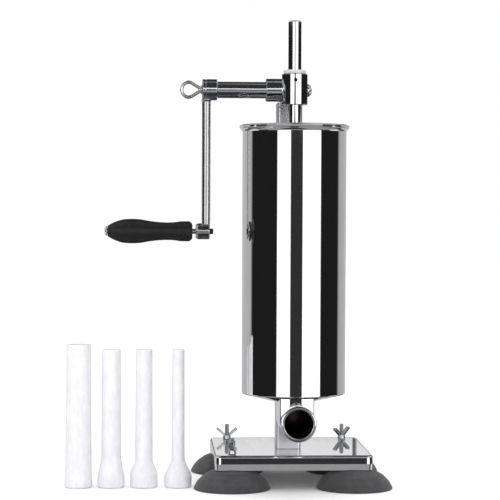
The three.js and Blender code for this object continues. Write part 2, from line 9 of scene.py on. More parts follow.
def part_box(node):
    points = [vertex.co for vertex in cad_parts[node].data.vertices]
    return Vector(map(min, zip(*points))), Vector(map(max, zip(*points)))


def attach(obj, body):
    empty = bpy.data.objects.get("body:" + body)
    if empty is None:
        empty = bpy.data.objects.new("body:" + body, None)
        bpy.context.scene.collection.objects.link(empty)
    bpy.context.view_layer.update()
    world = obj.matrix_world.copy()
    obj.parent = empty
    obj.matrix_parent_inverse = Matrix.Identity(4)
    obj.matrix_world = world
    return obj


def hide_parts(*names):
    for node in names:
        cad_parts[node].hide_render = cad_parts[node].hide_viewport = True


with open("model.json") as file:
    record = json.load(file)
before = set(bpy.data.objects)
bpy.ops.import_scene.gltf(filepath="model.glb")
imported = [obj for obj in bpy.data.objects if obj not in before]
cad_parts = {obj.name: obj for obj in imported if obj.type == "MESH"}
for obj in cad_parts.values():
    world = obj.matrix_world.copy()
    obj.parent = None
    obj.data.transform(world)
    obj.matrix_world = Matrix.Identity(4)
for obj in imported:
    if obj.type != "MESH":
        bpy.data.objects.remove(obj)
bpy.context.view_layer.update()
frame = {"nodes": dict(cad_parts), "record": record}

MM = 0.001
TAU = 2 * math.pi
scene = bpy.context.scene


# ---- Places taken from the frame, in millimetres ----
def low(node):
    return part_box(node)[0] / MM


def high(node):
    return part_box(node)[1] / MM


def middle(node):
    return (low(node) + high(node)) / 2


def half_width(node):
    return (high(node) - low(node)).x / 2


BARREL_AXIS = Vector((middle("barrel").x, middle("barrel").y, 0))
SHAFT_AXIS = Vector((0, middle("shaft_tube").y, middle("shaft_tube").z))
GRIP_AXIS = Vector((0, middle("hand_grip").y, middle("hand_grip").z))
POST_AXIS = Vector((middle("support_post").x, middle("support_post").y, 0))
PLATE_TOP = high("base_plate").z
FEET = ("front_left", "front_right", "rear_left", "rear_right")


# ---- Mesh building. Shapes are given in millimetres and made in metres. ----
def evenly(start, end, count):
    """The two ends of a range and the values that part it into equal steps."""
    return [start + (end - start) * k / count for k in range(count + 1)]


def object_from(name, shape):
    """Puts a bmesh, already in metres, into the scene."""
    mesh = bpy.data.meshes.new(name)
    shape.to_mesh(mesh)
    shape.free()
    obj = bpy.data.objects.new(name, mesh)
    scene.collection.objects.link(obj)
    return obj


def new_object(name, vertices, faces, sharp_angle=35):
    mesh = bpy.data.meshes.new(name)
    mesh.from_pydata([Vector(v) * MM for v in vertices], [], faces)
    shape = bmesh.new()
    shape.from_mesh(mesh)
    bmesh.ops.remove_doubles(shape, verts=shape.verts, dist=1e-7)
    bmesh.ops.dissolve_degenerate(shape, dist=1e-8, edges=shape.edges)
    bmesh.ops.recalc_face_normals(shape, faces=shape.faces)
    shape.to_mesh(mesh)
    shape.free()
    obj = bpy.data.objects.new(name, mesh)
    scene.collection.objects.link(obj)
    smooth(obj, sharp_angle)
    return obj


def smooth(obj, sharp_angle=35):
    mesh = obj.data
    mesh.shade_smooth()
    mesh.set_sharp_from_angle(angle=math.radians(sharp_angle))
    obj.modifiers.new("flat_faces_stay_flat", "WEIGHTED_NORMAL").keep_sharp = True


def rounded(corners, steps=5):
    """Points of a closed outline given by corners (a, b) or (a, b, fillet radius), arcs at the fillets."""
    points = []
    count = len(corners)
    for i, corner in enumerate(corners):
        here = Vector(corner[:2])
        if len(corner) < 3:
            points.append(tuple(here))
            continue
        before = Vector(corners[i - 1][:2]) - here
        after = Vector(corners[(i + 1) % count][:2]) - here
        half = before.angle(after) / 2
        reach = min(corner[2] / math.tan(half), before.length * 0.49, after.length * 0.49)
        radius = reach * math.tan(half)
        centre = here + (before.normalized() + after.normalized()).normalized() * (radius / math.sin(half))
        start = here + before.normalized() * reach - centre
        end = here + after.normalized() * reach - centre
        turn = start.angle_signed(end)
        for k in range(steps + 1):
            a = -turn * k / steps
            points.append((
                centre.x + start.x * math.cos(a) - start.y * math.sin(a),
                centre.y + start.x * math.sin(a) + start.y * math.cos(a),
            ))
    return points


def loft(name, rings, closed=True, sharp_angle=35):
    """Joins equal rings of points. A closed loft joins the last ring to the first, an open one is capped."""
    count = len(rings[0])
    vertices = [point for ring in rings for point in ring]
    faces = []
    for i in range(len(rings) if closed else len(rings) - 1):
        a, b = i * count, ((i + 1) % len(rings)) * count
        for k in range(count):
            n = (k + 1) % count
            faces.append((a + k, a + n, b + n, b + k))
    if not closed:
        faces.append(tuple(range(count))[::-1])
        faces.append(tuple(range(len(vertices) - count, len(vertices))))
    return new_object(name, vertices, faces, sharp_angle)


AXES = {
    "X": lambda r, t, a: Vector((t, r * math.cos(a), r * math.sin(a))),
    "Y": lambda r, t, a: Vector((r * math.cos(a), t, r * math.sin(a))),
    "Z": lambda r, t, a: Vector((r * math.cos(a), r * math.sin(a), t)),
}


def turned(name, profile, origin, axis="Z", sides=96, sharp_angle=35):
    """Revolves a closed outline of (radius, distance along the axis) points about an axis through origin."""
    place = AXES[axis]
    rings = []
    for r, t in profile:
        rings.append([origin + place(max(r, 0.0), t, TAU * k / sides) for k in range(sides)])
    return loft(name, rings, closed=True, sharp_angle=sharp_angle)


def rounded_rectangle(half_x, half_y, corner, z, centre, steps=8):
    points = []
    for quarter, (sx, sy) in enumerate(((1, 1), (-1, 1), (-1, -1), (1, -1))):
        for k in range(steps + 1):
            a = (quarter + k / steps) * math.pi / 2
            points.append(Vector((
                centre.x + sx * (half_x - corner) + corner * math.cos(a),
                centre.y + sy * (half_y - corner) + corner * math.sin(a),
                z,
            )))
    return points


def bevelled_block(name, lo, hi, bevel, segments=3, matrix=None):
    shape = bmesh.new()
    bmesh.ops.create_cube(shape, size=1)
    for vertex in shape.verts:
        vertex.co = Vector(((lo[i] if vertex.co[i] < 0 else hi[i]) * MM for i in range(3)))
    bmesh.ops.bevel(
        shape, geom=shape.edges, offset=bevel * MM, segments=segments, profile=0.5, affect="EDGES"
    )
    if matrix is not None:
        shape.transform(matrix)
    obj = object_from(name, shape)
    smooth(obj, 30)
    return obj


def merged(name, parts):
    """Puts several closed shapes into one object."""
    shape = bmesh.new()
    for part in parts:
        part.data.transform(part.matrix_basis)
        shape.from_mesh(part.data)
        bpy.data.objects.remove(part)
    obj = object_from(name, shape)
    smooth(obj, 32)
    return obj


def drill(obj, cutter):
    """Cuts the cutter's shape out of an object and takes the cutter away."""
    obj.modifiers.clear()
    cut = obj.modifiers.new("hole", "BOOLEAN")
    cut.object = cutter
    cut.solver = "EXACT"
    graph = bpy.context.evaluated_depsgraph_get()
    result = bpy.data.meshes.new_from_object(obj.evaluated_get(graph))
    obj.modifiers.clear()
    obj.data = result
    bpy.data.objects.remove(cutter)
    smooth(obj, 30)


def place(obj, body, slot, material, *nodes):
    """A finished piece: its material, the body it rides on and the CAD nodes that it stands for; the slot
    argument is not used.
    """
    obj.data.materials.clear()
    obj.data.materials.append(material)
    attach(obj, body)
    if nodes:
        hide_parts(*nodes)
    return obj


# ---- Materials ----
class Finish:
    """A node material under construction, with the few node kinds that the finishes here share."""

    def __init__(self, name):
        self.material = bpy.data.materials.new(name)
        self.material.use_nodes = True
        self.tree = self.material.node_tree
        self.shader = self.tree.nodes["Principled BSDF"]
        self.position = self.tree.nodes.new("ShaderNodeTexCoord").outputs["Object"]

    def set(self, **values):
        for socket, value in values.items():
            self.shader.inputs[socket.replace("_", " ")].default_value = value

    def noise(self, scale, detail=3.0, stretch=(1, 1, 1), roughness=0.5):
        mapping = self.tree.nodes.new("ShaderNodeMapping")
        mapping.inputs["Scale"].default_value = stretch
        self.tree.links.new(self.position, mapping.inputs["Vector"])
        node = self.tree.nodes.new("ShaderNodeTexNoise")
        node.inputs["Scale"].default_value = scale
        node.inputs["Detail"].default_value = detail
        node.inputs["Roughness"].default_value = roughness
        self.tree.links.new(mapping.outputs["Vector"], node.inputs["Vector"])
        return node.outputs["Fac"]

    def spread(self, value, low_value, high_value, start=0.3, end=0.7):
        node = self.tree.nodes.new("ShaderNodeMapRange")
        for socket, number in zip(
            ("From Min", "From Max", "To Min", "To Max"), (start, end, low_value, high_value)
        ):
            node.inputs[socket].default_value = number
        self.tree.links.new(value, node.inputs["Value"])
        return node.outputs["Result"]

    def colours(self, value, first, second, start=0.3, end=0.7):
        node = self.tree.nodes.new("ShaderNodeValToRGB")
        node.color_ramp.elements[0].position = start
        node.color_ramp.elements[0].color = (*first, 1)
        node.color_ramp.elements[1].position = end
        node.color_ramp.elements[1].color = (*second, 1)
        self.tree.links.new(value, node.inputs["Fac"])
        self.tree.links.new(node.outputs["Color"], self.shader.inputs["Base Color"])

    def rough(self, value):
        self.tree.links.new(value, self.shader.inputs["Roughness"])

    def bump(self, value, strength, distance):
        node = self.tree.nodes.new("ShaderNodeBump")
        node.inputs["Strength"].default_value = strength
        node.inputs["Distance"].default_value = distance * MM
        self.tree.links.new(value, node.inputs["Height"])
        self.tree.links.new(node.outputs["Normal"], self.shader.inputs["Normal"])


# How the polishing lines are stretched: a small number lengthens them that way.
ALONG_Z = (1, 1, 0.02)
ROUND_Z = (0.03, 0.03, 1.5)
ROUND_X = (1.5, 0.03, 0.03)


def steel(name, rough=(0.03, 0.07), tint=(0.80, 0.80, 0.81), stretch=(1, 1, 1), bump=0.0015):
    """Polished stainless steel: fine polishing lines along the stretched directions, faint smears."""
    finish = Finish(name)
    finish.set(Metallic=1.0)
    smears = finish.noise(60, 4, (1, 1, 0.6))
    finish.colours(smears, tuple(c * 0.94 for c in tint), tint)
    lines = finish.noise(900, 5, stretch, 0.7)
    finish.rough(finish.spread(lines, rough[0], rough[1]))
    finish.bump(lines, 0.25, bump)
    return finish.material


def zinc(name):
    """Bright zinc plating: a finely mottled, half-dull gloss."""
    finish = Finish(name)
    finish.set(Metallic=1.0)
    finish.colours(finish.noise(700, 4), (0.50, 0.51, 0.53), (0.68, 0.69, 0.71))
    finish.rough(finish.spread(finish.noise(1500, 3), 0.12, 0.26))
    finish.bump(finish.noise(3000, 3), 0.2, 0.004)
    return finish.material


def rubber(name):
    """Moulded grey rubber: fine grain, a little bloom and faint dust in random patches."""
    finish = Finish(name)
    finish.set(Specular_IOR_Level=0.35, Sheen_Weight=0.15, Sheen_Roughness=0.5)
    finish.colours(finish.noise(90, 6, roughness=0.65), (0.040, 0.040, 0.043), (0.066, 0.066, 0.069))
    finish.rough(finish.spread(finish.noise(500, 3), 0.62, 0.82))
    finish.bump(finish.noise(2600, 4), 0.35, 0.03)
    return finish.material


def black_plastic(name):
    """Satin black moulding with a fine grain."""
    finish = Finish(name)
    finish.set(Specular_IOR_Level=0.35)
    finish.colours(finish.noise(120, 3), (0.008, 0.008, 0.009), (0.013, 0.013, 0.014))
    finish.rough(finish.spread(finish.noise(900, 4), 0.36, 0.5))
    finish.bump(finish.noise(2200, 3), 0.25, 0.012)
    return finish.material


def nylon(name):
    """Light grey nylon with fine turning lines."""
    finish = Finish(name)
    finish.set(Subsurface_Weight=0.08, Subsurface_Scale=0.002, Subsurface_Radius=(1, 1, 1))
    finish.colours(finish.noise(300, 4), (0.50, 0.50, 0.48), (0.62, 0.62, 0.60))
    finish.rough(finish.spread(finish.noise(900, 4, ROUND_Z), 0.4, 0.55))
    finish.bump(finish.noise(900, 4, ROUND_Z), 0.3, 0.01)
    return finish.material


def white_plastic(name):
    """Thin white polypropylene: lets light through, faintly mottled, with a soft gloss."""
    finish = Finish(name)
    finish.set(Subsurface_Weight=0.25, Subsurface_Scale=0.002, Subsurface_Radius=(1, 1, 1), IOR=1.49)
    mottling = finish.noise(260, 6, (1, 1, 0.3), 0.65)
    finish.colours(mottling, (0.74, 0.74, 0.775), (0.82, 0.82, 0.84), 0.36, 0.62)
    finish.rough(finish.spread(finish.noise(500, 4, (1, 1, 0.2)), 0.25, 0.4))
    finish.bump(finish.noise(300, 2, (1, 1, 0.2)), 0.15, 0.01)
    return finish.material


def silicone(name):
    """Off-white, soft and matt."""
    finish = Finish(name)
    finish.set(Subsurface_Weight=0.15, Subsurface_Scale=0.003, Subsurface_Radius=(1, 1, 1))
    finish.colours(finish.noise(200, 4), (0.74, 0.74, 0.70), (0.82, 0.82, 0.78))
    finish.rough(finish.spread(finish.noise(700, 4), 0.45, 0.6))
    finish.bump(finish.noise(1200, 3), 0.2, 0.01)
    return finish.material


STEEL_BARREL = steel("steel_barrel", (0.025, 0.05), stretch=ALONG_Z, bump=0.0006)
STEEL_ROUND_Z = steel("steel_turned_upright", (0.03, 0.06), stretch=ROUND_Z, bump=0.0005)
STEEL_ROUND_X = steel("steel_turned_across", (0.08, 0.18), (0.78, 0.79, 0.83), ROUND_X, 0.003)
STEEL_BAR = steel("steel_crank_bar", (0.12, 0.26), (0.58, 0.58, 0.59), (1, 1, 0.03), 0.006)
STEEL_SHEET = steel("steel_sheet", (0.03, 0.07), (0.80, 0.80, 0.83), (1, 0.02, 1))
STEEL_POST = steel("steel_post", (0.26, 0.36), (0.80, 0.80, 0.84), ALONG_Z, 0.003)
# Dark brownish steel for the throat's inner faces: painted shade inside the outlet, not the steel's own
# colour.
STEEL_PAINTED_SHADE = steel("steel_inside_painted_shade", (0.40, 0.55), (0.20, 0.17, 0.15))
STEEL_PLAIN = steel("steel_plain", (0.05, 0.12))
STEEL_PISTON = steel("steel_piston", (0.08, 0.16))
BLACKENED = steel("blackened_set_screw", (0.50, 0.65), (0.02, 0.02, 0.022))
ZINC = zinc("zinc_plated")
RUBBER = rubber("cup_rubber")
BLACK = black_plastic("black_moulding")
NYLON = nylon("turned_nylon")
WHITE = white_plastic("white_moulding")
SILICONE = silicone("seal_silicone")


# ---- Base: tray, cups, studs, wing nuts ----
def make_base_plate():
    """A folded tray, lofted from its underside down inside the skirt, up the outside and over the bend."""
    lo, hi = low("base_plate"), high("base_plate")
    centre = middle("base_plate")
    half_x, half_y = (hi - lo).x / 2, (hi - lo).y / 2
    corner, bend, sheet = 7.0, 2.5, 1.5
    inner_bend = bend - sheet
    bend_turns = evenly(0, math.pi / 2, 8)

    def level(inset, z, radius):
        return rounded_rectangle(half_x - inset, half_y - inset, radius, z, centre, 10)

    rings = [level(sheet, lo.z, corner - sheet), level(sheet - 0.3, lo.z, corner - sheet + 0.3)]
    rings += [level(0.6, lo.z, corner - 0.6), level(0.35, lo.z + 0.3, corner - 0.35)]
    rings += [level(0.05, lo.z + 5.5, corner), level(0, lo.z + 6.5, corner)]
    for turn in bend_turns:
        inset = bend * (1 - math.cos(turn))
        rings.append(level(inset, hi.z - bend + bend * math.sin(turn), corner - inset))
    rings.append(level(bend + 3, hi.z, corner - bend))
    under = []
    for turn in bend_turns:
        inset = sheet + inner_bend * (1 - math.cos(turn))
        under.append(level(inset, hi.z - bend + inner_bend * math.sin(turn), corner - inset))
    plate = loft("base_plate_folded", [*under[::-1], *rings], closed=False, sharp_angle=40)
    place(plate, "frame", "polished_steel", STEEL_SHEET, "base_plate")


def make_cup(foot):
    node = f"suction_cup_{foot}"
    centre = middle(node)
    origin = Vector((centre.x, centre.y, 0))
    r = half_width(node)
    seat = high(node).z
    outline = rounded([
        (10, seat, 0.8), (10.3, 20.4, 1.2), (14, 18.7, 3), (r - 16, 17.2, 8), (r - 9, 13, 12),
        (r - 3.2, 7.2, 10), (r - 0.1, 1.5, 1.6), (r - 0.3, 0, 0.4), (r - 1.3, 0, 0.4),
        (r - 3.4, 0.9, 3), (16, 7.4, 30), (0.01, 8.5),
    ], 6)
    cup = turned(f"cup_{foot}", [(0, seat), *outline, (0, 8.5)], origin, sides=128, sharp_angle=60)
    place(cup, "frame", "rubber", RUBBER, node)


def make_stud(foot):
    """A threaded stud: the thread's crest climbs one pitch for each turn."""
    node = f"stud_{foot}"
    centre = middle(node)
    lo, hi = low(node).z, high(node).z
    r = half_width(node)
    pitch, depth, sides, rows_per_pitch = 0.8, 0.25, 24, 8
    point_length, point_depth = 0.7, 0.5
    thread_start = PLATE_TOP - 3

    def ring(z, radius_at):
        points = []
        for k in range(sides):
            a, radius = TAU * k / sides, radius_at(k / sides)
            points.append(Vector((centre.x + radius * math.cos(a), centre.y + radius * math.sin(a), z)))
        return points

    def thread(z):
        narrowing = point_depth * (1 - min(1, (hi - z) / point_length))
        return lambda turn: r - depth * abs(2 * ((z / pitch - turn) % 1) - 1) - narrowing

    plain = r - 0.4
    rings = [ring(lo, lambda turn: 0), ring(lo, lambda turn: plain), ring(thread_start, lambda turn: plain)]
    rows = int((hi - thread_start) / pitch * rows_per_pitch)
    rings += [ring(z, thread(z)) for z in evenly(thread_start, hi, rows)]
    rings.append([Vector((centre.x, centre.y, hi))] * sides)
    stud = loft(f"threaded_stud_{foot}", rings, closed=False, sharp_angle=70)
    place(stud, "frame", "zinc_hardware", ZINC, node)


def make_wing_nut(foot, turn):
    """A short hub with two flat wings, each leaning up and outwards."""
    wing_lo, wing_hi = (2.9, -2.4, -1.3), (13.6, 2.4, 1.3)
    root_height, wing_slope = 2, 41
    node = f"wing_nut_{foot}"
    seat = low(node).z
    stud = middle(f"stud_{foot}")
    origin = Vector((stud.x, stud.y, seat))
    hub = turned("hub", rounded([
        (2.35, 0, 0.2), (4.3, 0, 0.3), (3.7, 4.1, 0.5), (2.35, 4.1, 0.2)
    ], 3), origin, sides=40)
    parts = [hub]
    for side in (0, 180):
        root = Matrix.Translation((origin + Vector((0, 0, root_height))) * MM)
        heading = Matrix.Rotation(math.radians(turn + side), 4, "Z")
        rise = Matrix.Rotation(math.radians(-wing_slope), 4, "Y")
        parts.append(bevelled_block("wing", wing_lo, wing_hi, 0.55, 3, root @ heading @ rise))
    nut = merged(f"wing_nut_{foot}_body", parts)
    place(nut, f"wing_nut_{foot}", "zinc_hardware", ZINC, node)


# ---- Post and gear housing ----
def make_post():
    bottom, top = low("support_post").z, high("support_post").z
    half, corner, wall = half_width("support_post"), 3.0, 1.5
    levels = [(0, bottom), (0, top - 0.5), (0.15, top - 0.15), (0.5, top), (wall, top), (wall, bottom)]
    rings = []
    for inset, z in levels:
        rings.append(rounded_rectangle(half - inset, half - inset, corner - inset, z, POST_AXIS))
    post = loft("post_tube", rings, closed=True, sharp_angle=50)
    place(post, "frame", "polished_steel", STEEL_POST, "support_post")
    for side in ("left", "right"):
        node = f"post_cap_screw_{side}"
        spot = middle(node)
        origin = Vector((spot.x, low("support_post").y, spot.z))
        head = turned(f"{node}_head", rounded([
            (0, 7.5), (1.25, 7.5), (1.25, -0.2), (2.3, -0.2, 0.15), (2.25, -0.9, 0.6), (1.0, -1.8, 0.7),
            (0, -2),
        ]), origin, "Y", 40)
        place(head, "frame", "zinc_hardware", ZINC, node)


def make_housing():
    """An upright sleeve for the rod, a collar across it for the shaft, the gear box and the rear arm."""
    lo, hi = low("gear_housing"), high("gear_housing")
    bore, radius, screw_hole = 8.9, 12.3, 1.75
    sleeve = turned("housing_sleeve", rounded([
        (bore, lo.z), (radius, lo.z, 0.5), (radius, hi.z, 0.5), (bore, hi.z)
    ]), BARREL_AXIS, sides=160)
    hole_profile = [(0, -20), (screw_hole, -20), (screw_hole, 4), (0, 4)]
    drill(sleeve, turned("cutter", hole_profile, middle("sleeve_set_screw"), "Y", 32))
    place(sleeve, "frame", "polished_steel", STEEL_ROUND_Z, "gear_housing")

    inner, outer, collar_end = 9.4, 11.2, lo.x + 17.5
    collar = turned("housing_collar", rounded([
        (inner, lo.x), (outer, lo.x, 0.5), (outer, collar_end, 0.2), (inner, collar_end)
    ]), SHAFT_AXIS, "X", 96)
    place(collar, "frame", "polished_steel", STEEL_ROUND_X, "gear_housing")

    axis, shaft_z = BARREL_AXIS, SHAFT_AXIS.z
    gear_box = bevelled_block(
        "housing_gear_box",
        (axis.x - 11, axis.y + 6.5, shaft_z - 12.4),
        (axis.x + 12, axis.y + 23, shaft_z + 12.4), 1.6, 4,
    )
    place(gear_box, "frame", "polished_steel", STEEL_PLAIN, "gear_housing")
    arm = bevelled_block(
        "housing_arm",
        (axis.x - 8, axis.y + 20, high("support_post").z + 0.3),
        (axis.x + 8, hi.y, 396.7), 1.2, 4,
    )
    place(arm, "frame", "polished_steel", STEEL_PLAIN, "gear_housing")


def make_shaft_tube():
    lo, hi = low("shaft_tube").x, high("shaft_tube").x
    bore, outer, seated = 6.2, 8, 9.05
    shoulder = low("gear_housing").x - 0.3
    tube = turned("bearing_tube", rounded([
        (bore, lo, 0.3), (outer, lo, 0.5), (outer, shoulder), (seated, shoulder), (seated, hi), (bore, hi)
    ]), SHAFT_AXIS, "X", 96)
    place(tube, "frame", "polished_steel", STEEL_ROUND_X, "shaft_tube")


def make_rod_bush():
    bottom, top = low("rod_bush_upper").z, high("rod_bush_upper").z
    bore, body, flange = 6.55, 8.6, half_width("rod_bush_upper")
    seat = high("gear_housing").z + 0.3
    bush = turned("rod_bush", rounded([
        (bore, bottom), (body, bottom), (body, seat), (flange, seat, 0.2), (flange, top, 0.9),
        (bore, top, 0.4),
    ]), BARREL_AXIS, sides=96)
    place(bush, "frame", "nylon", NYLON, "rod_bush_upper")


# ---- Barrel and outlet ----
def make_barrel():
    """A straight shell with a rolled rim; its floor dips to the flat round the outlet hole."""
    top, floor = high("barrel").z, low("barrel").z
    flare, wall, hole, flat = 3.0, 1.0, 14.9, 20
    r = half_width("barrel") - flare
    bottom = floor + 7.6
    outline = rounded([
        (hole, floor), (flat, floor, 3), (r, bottom, 1.3), (r, top - 6, 4),
        (r + flare - 0.4, top - 3.9, 0.8), (r + flare, top - 1.4, 1.0), (r + 1.8, top, 1.6),
        (r - wall, top - 2.8, 3), (r - wall, bottom + 0.9, 1), (flat, floor + wall, 2), (hole, floor + wall),
    ], 8)
    barrel = turned("barrel_shell", outline, BARREL_AXIS, sides=256, sharp_angle=50)
    place(barrel, "frame", "polished_steel", STEEL_BARREL, "barrel")


def make_throat():
    """A trough with a round bottom, lofted upwards: its back is round and its front follows the barrel."""
    axis_z = middle("outlet_pipe").z
    underside = low("barrel").z - 0.3
    half, wall, front, corner, mouth = 16.4, 1.5, 49.8, 1.8, 14.2
    flat, slope_run, slope_rise = 20, 28.4, 7.0

    def plan(radius, front_radius):
        """One closed loop: round the back, down the right side, across the front and up the left side."""
        bend = corner * radius / half
        reach = math.asin((radius - bend) / (front_radius - bend))
        middle_y = -(front_radius - bend) * math.cos(reach)
        back = [(radius * math.sin(a), radius * math.cos(a)) for a in evenly(-math.pi / 2, math.pi / 2, 32)]
        right = [(radius, middle_y * k / 12) for k in range(1, 12)]
        right += [(radius - bend + bend * math.cos(a), middle_y - bend * math.sin(a))
                  for a in evenly(0, math.pi / 2 - reach, 8)]
        across = evenly(reach, -reach, 40)[1:-1]
        arc = [(front_radius * math.sin(a), -front_radius * math.cos(a)) for a in across]
        return [*back, *right, *arc, *[(-x, y) for x, y in reversed(right)]]

    def top_height(x, y):
        """The height of the barrel's sloping floor over the pipe's axis."""
        run = min(slope_run, max(0, math.hypot(x, y) - flat))
        return underside + slope_rise / slope_run * run - axis_z

    def shell(radius, front_radius):
        rings = []
        for turn in evenly(0.02, math.pi / 2, 14):
            width = radius * math.sin(turn)
            rings.append([(x, y, -radius * math.cos(turn)) for x, y in plan(width, front_radius)])
        for share in (0.5, 1):
            rings.append([(x, y, share * top_height(x, y)) for x, y in plan(radius, front_radius)])
        return rings

    rings = [*shell(half, front), *reversed(shell(half - wall, front - wall))]
    origin = Vector((BARREL_AXIS.x, BARREL_AXIS.y, axis_z))
    throat = loft("throat", [[Vector(point) + origin for point in ring] for ring in rings], False, 40)
    drill(throat, turned("cutter", [(0, -60), (mouth, -60), (mouth, -40), (0, -40)], origin, "Y", 96))
    place(throat, "frame", "polished_steel", STEEL_BARREL, "outlet_throat")
    # Painted shade: the faces inside the throat take the dark brownish steel, which stands in for the shade
    # inside the outlet.
    throat.data.materials.append(STEEL_PAINTED_SHADE)
    for face in throat.data.polygons:
        x, y, z = face.center / MM - origin
        around = Vector((x, max(y, 0), min(z, 0))).length
        face.material_index = int(around < half - wall / 2 and math.hypot(x, y) < front - wall / 2)


def make_pipe():
    """A short pipe with a rolled lip; its back end is cut to the throat's curved front."""
    front, axis_z = low("outlet_pipe").y - BARREL_AXIS.y, middle("outlet_pipe").z
    lip = half_width("outlet_pipe")
    outer, inner, mouth, throat_front = 15.7, 14.2, 13.2, 50.1
    origin = Vector((BARREL_AXIS.x, BARREL_AXIS.y, axis_z))
    profile = rounded([
        (outer, front + 9), (outer, front + 3.2, 1.2), (lip, front + 2.6, 0.9),
        (lip, front + 0.6, 1.2), (lip - 1.6, front, 1.2), (mouth + 0.4, front, 1.0),
        (mouth, front + 1.8, 0.8), (inner, front + 2.8, 0.6), (inner, front + 9),
    ], 6)

    def ring(radius, y=None):
        points = []
        for angle in evenly(0, TAU, 128)[:-1]:
            x, z = radius * math.cos(angle), -radius * math.sin(angle)
            points.append(origin + Vector((x, -math.sqrt(throat_front ** 2 - x * x) if y is None else y, z)))
        return points

    rings = [ring(outer), *(ring(radius, y) for radius, y in profile), ring(inner)]
    place(loft("lipped_pipe", rings, True, 38), "frame", "polished_steel", STEEL_PLAIN, "outlet_pipe")


# ---- Toothed rod and piston ----
def make_rack_rod():
    """Round bar with a toothed flat at the back: each ring is a circle cut off at the teeth's depth there."""
    lo, hi = low("rack_rod").z, high("rack_rod").z
    radius, shoulder, stub = 6.25, high("piston_disc").z + 0.3, 4.0
    module, pressure, backlash, top_round = 1.25, math.radians(25), 0.05, 1.2
    pitch = math.pi * module
    pitch_line = SHAFT_AXIS.y - 7.5 - BARREL_AXIS.y
    tip, root = pitch_line + module, pitch_line - 1.25 * module
    half_tip = pitch / 4 + module * math.tan(pressure) + backlash
    half_root = pitch / 4 - 1.25 * module * math.tan(pressure) + backlash
    widest = math.acos(root / radius)

    def ring(z, r, cut_y):
        reach = math.acos(min(cut_y / r, 1))
        right, left = evenly(reach, widest, 6), evenly(TAU - widest, TAU - reach, 6)
        angles = [*right, *evenly(widest, TAU - widest, 48)[1:-1], *left]
        points = [Vector((r * math.sin(a), r * math.cos(a), z)) for a in angles]
        flat = [points[-1].lerp(points[0], share) for share in evenly(0, 1, 8)[1:-1]]
        return [point + BARREL_AXIS for point in [*points, *flat]]

    levels = [(lo, stub - 0.5, stub), (lo + 0.5, stub, stub), (shoulder, stub, stub)]
    levels.append((shoulder, radius, radius))
    first_gap, last_gap = -57, 13
    lowest = SHAFT_AXIS.z + (first_gap - 0.5) * pitch
    levels += [(lowest - 0.01, radius, radius), (lowest, radius, tip)]
    for gap in range(first_gap, last_gap + 1):
        z = SHAFT_AXIS.z + gap * pitch
        levels += [(z - half_tip, radius, tip), (z - half_root, radius, root)]
        levels += [(z + half_root, radius, root), (z + half_tip, radius, tip)]
    highest = SHAFT_AXIS.z + (last_gap + 0.5) * pitch
    levels += [(highest, radius, tip), (highest + 0.01, radius, radius), (hi - top_round, radius, radius)]
    for a in evenly(0, math.pi / 2, 6)[1:]:
        z = hi - top_round + top_round * math.sin(a)
        levels.append((z, radius - top_round * (1 - math.cos(a)), radius))
    rod = loft("toothed_rod", [ring(*level) for level in levels], closed=False, sharp_angle=28)
    place(rod, "rack", "polished_steel", STEEL_ROUND_Z, "rack_rod")


def make_piston():
    lo, hi = low("piston_disc").z, high("piston_disc").z
    radius, bore, hub, groove = 47.2, 4.3, 13.0, 44.5
    disc = turned("piston_plate", rounded([
        (bore, lo), (radius, lo, 1.0), (radius, lo + 2, 0.2), (groove, lo + 2), (groove, lo + 6),
        (radius, lo + 6, 0.2), (radius, lo + 8, 1.0), (hub + 0.5, lo + 8, 2.5), (hub, hi, 0.8), (bore, hi),
    ], 6), BARREL_AXIS, sides=192)
    place(disc, "rack", "polished_steel", STEEL_PISTON, "piston_disc")
    seal_lo, seal_hi = low("piston_seal").z, high("piston_seal").z
    inner, outer = radius - 2.3, half_width("piston_seal")
    seal = turned("piston_gasket", rounded([
        (inner, seal_lo, 0.4), (outer, seal_lo, 1.6), (outer, seal_hi, 1.6), (inner, seal_hi, 0.4)
    ], 6), BARREL_AXIS, sides=192, sharp_angle=60)
    place(seal, "rack", "silicone", SILICONE, "piston_seal")


# ---- Crank ----
def make_crank():
    hub_lo, hub_hi = low("crank_hub").x, high("crank_hub").x
    r = (high("crank_hub") - low("crank_hub")).z / 2
    hub = turned("crank_hub_body", rounded([
        (2.6, hub_lo, 0.3), (r, hub_lo, 0.9), (r, hub_lo + 2.6, 0.2), (r - 0.5, hub_lo + 3.0, 0.2),
        (r - 0.5, hub_lo + 3.6, 0.2), (r, hub_lo + 4.0, 0.2), (r, hub_hi, 0.7), (5.0, hub_hi, 0.3),
    ]), SHAFT_AXIS, "X", 96)
    place(hub, "crank", "polished_steel", STEEL_ROUND_X, "crank_hub")

    make_crank_bar(SHAFT_AXIS.z - r + 1.2)
    make_handle_pin()
    make_shaft_end()


def make_crank_bar(bar_top):
    """A round bar welded to the hub, with a boss for the grip's pin at its foot."""
    bar_r, bar_foot = 4.2, GRIP_AXIS.z - 5.5
    bore, boss_r, boss_lo, boss_hi = 2.85, 7.75, low("crank_arm").x, high("crank_arm").x - 0.25
    bar_axis = Vector((middle("crank_arm").x + 3.0, SHAFT_AXIS.y, 0))
    bar = turned("bar", rounded([
        (0, bar_foot), (3.5, bar_foot, 3), (bar_r, GRIP_AXIS.z + 12, 20), (bar_r, bar_top), (0, bar_top)
    ]), bar_axis, sides=48)
    boss = turned("boss", rounded([
        (bore, boss_lo, 0.3), (boss_r - 1.2, boss_lo, 0.5), (boss_r, boss_lo + 2.2, 0.8),
        (boss_r, boss_hi, 1.2), (bore, boss_hi, 0.3),
    ]), GRIP_AXIS, "X", 64)
    weld = turned("weld", rounded([
        (0, bar_top - 2.5), (4.3, bar_top - 2.5, 0.8), (5.4, bar_top + 0.2, 0.9), (0, bar_top + 0.2)
    ]), bar_axis, sides=48)
    arm = merged("crank_bar", [bar, boss, weld])
    place(arm, "crank", "polished_steel", STEEL_BAR, "crank_arm")


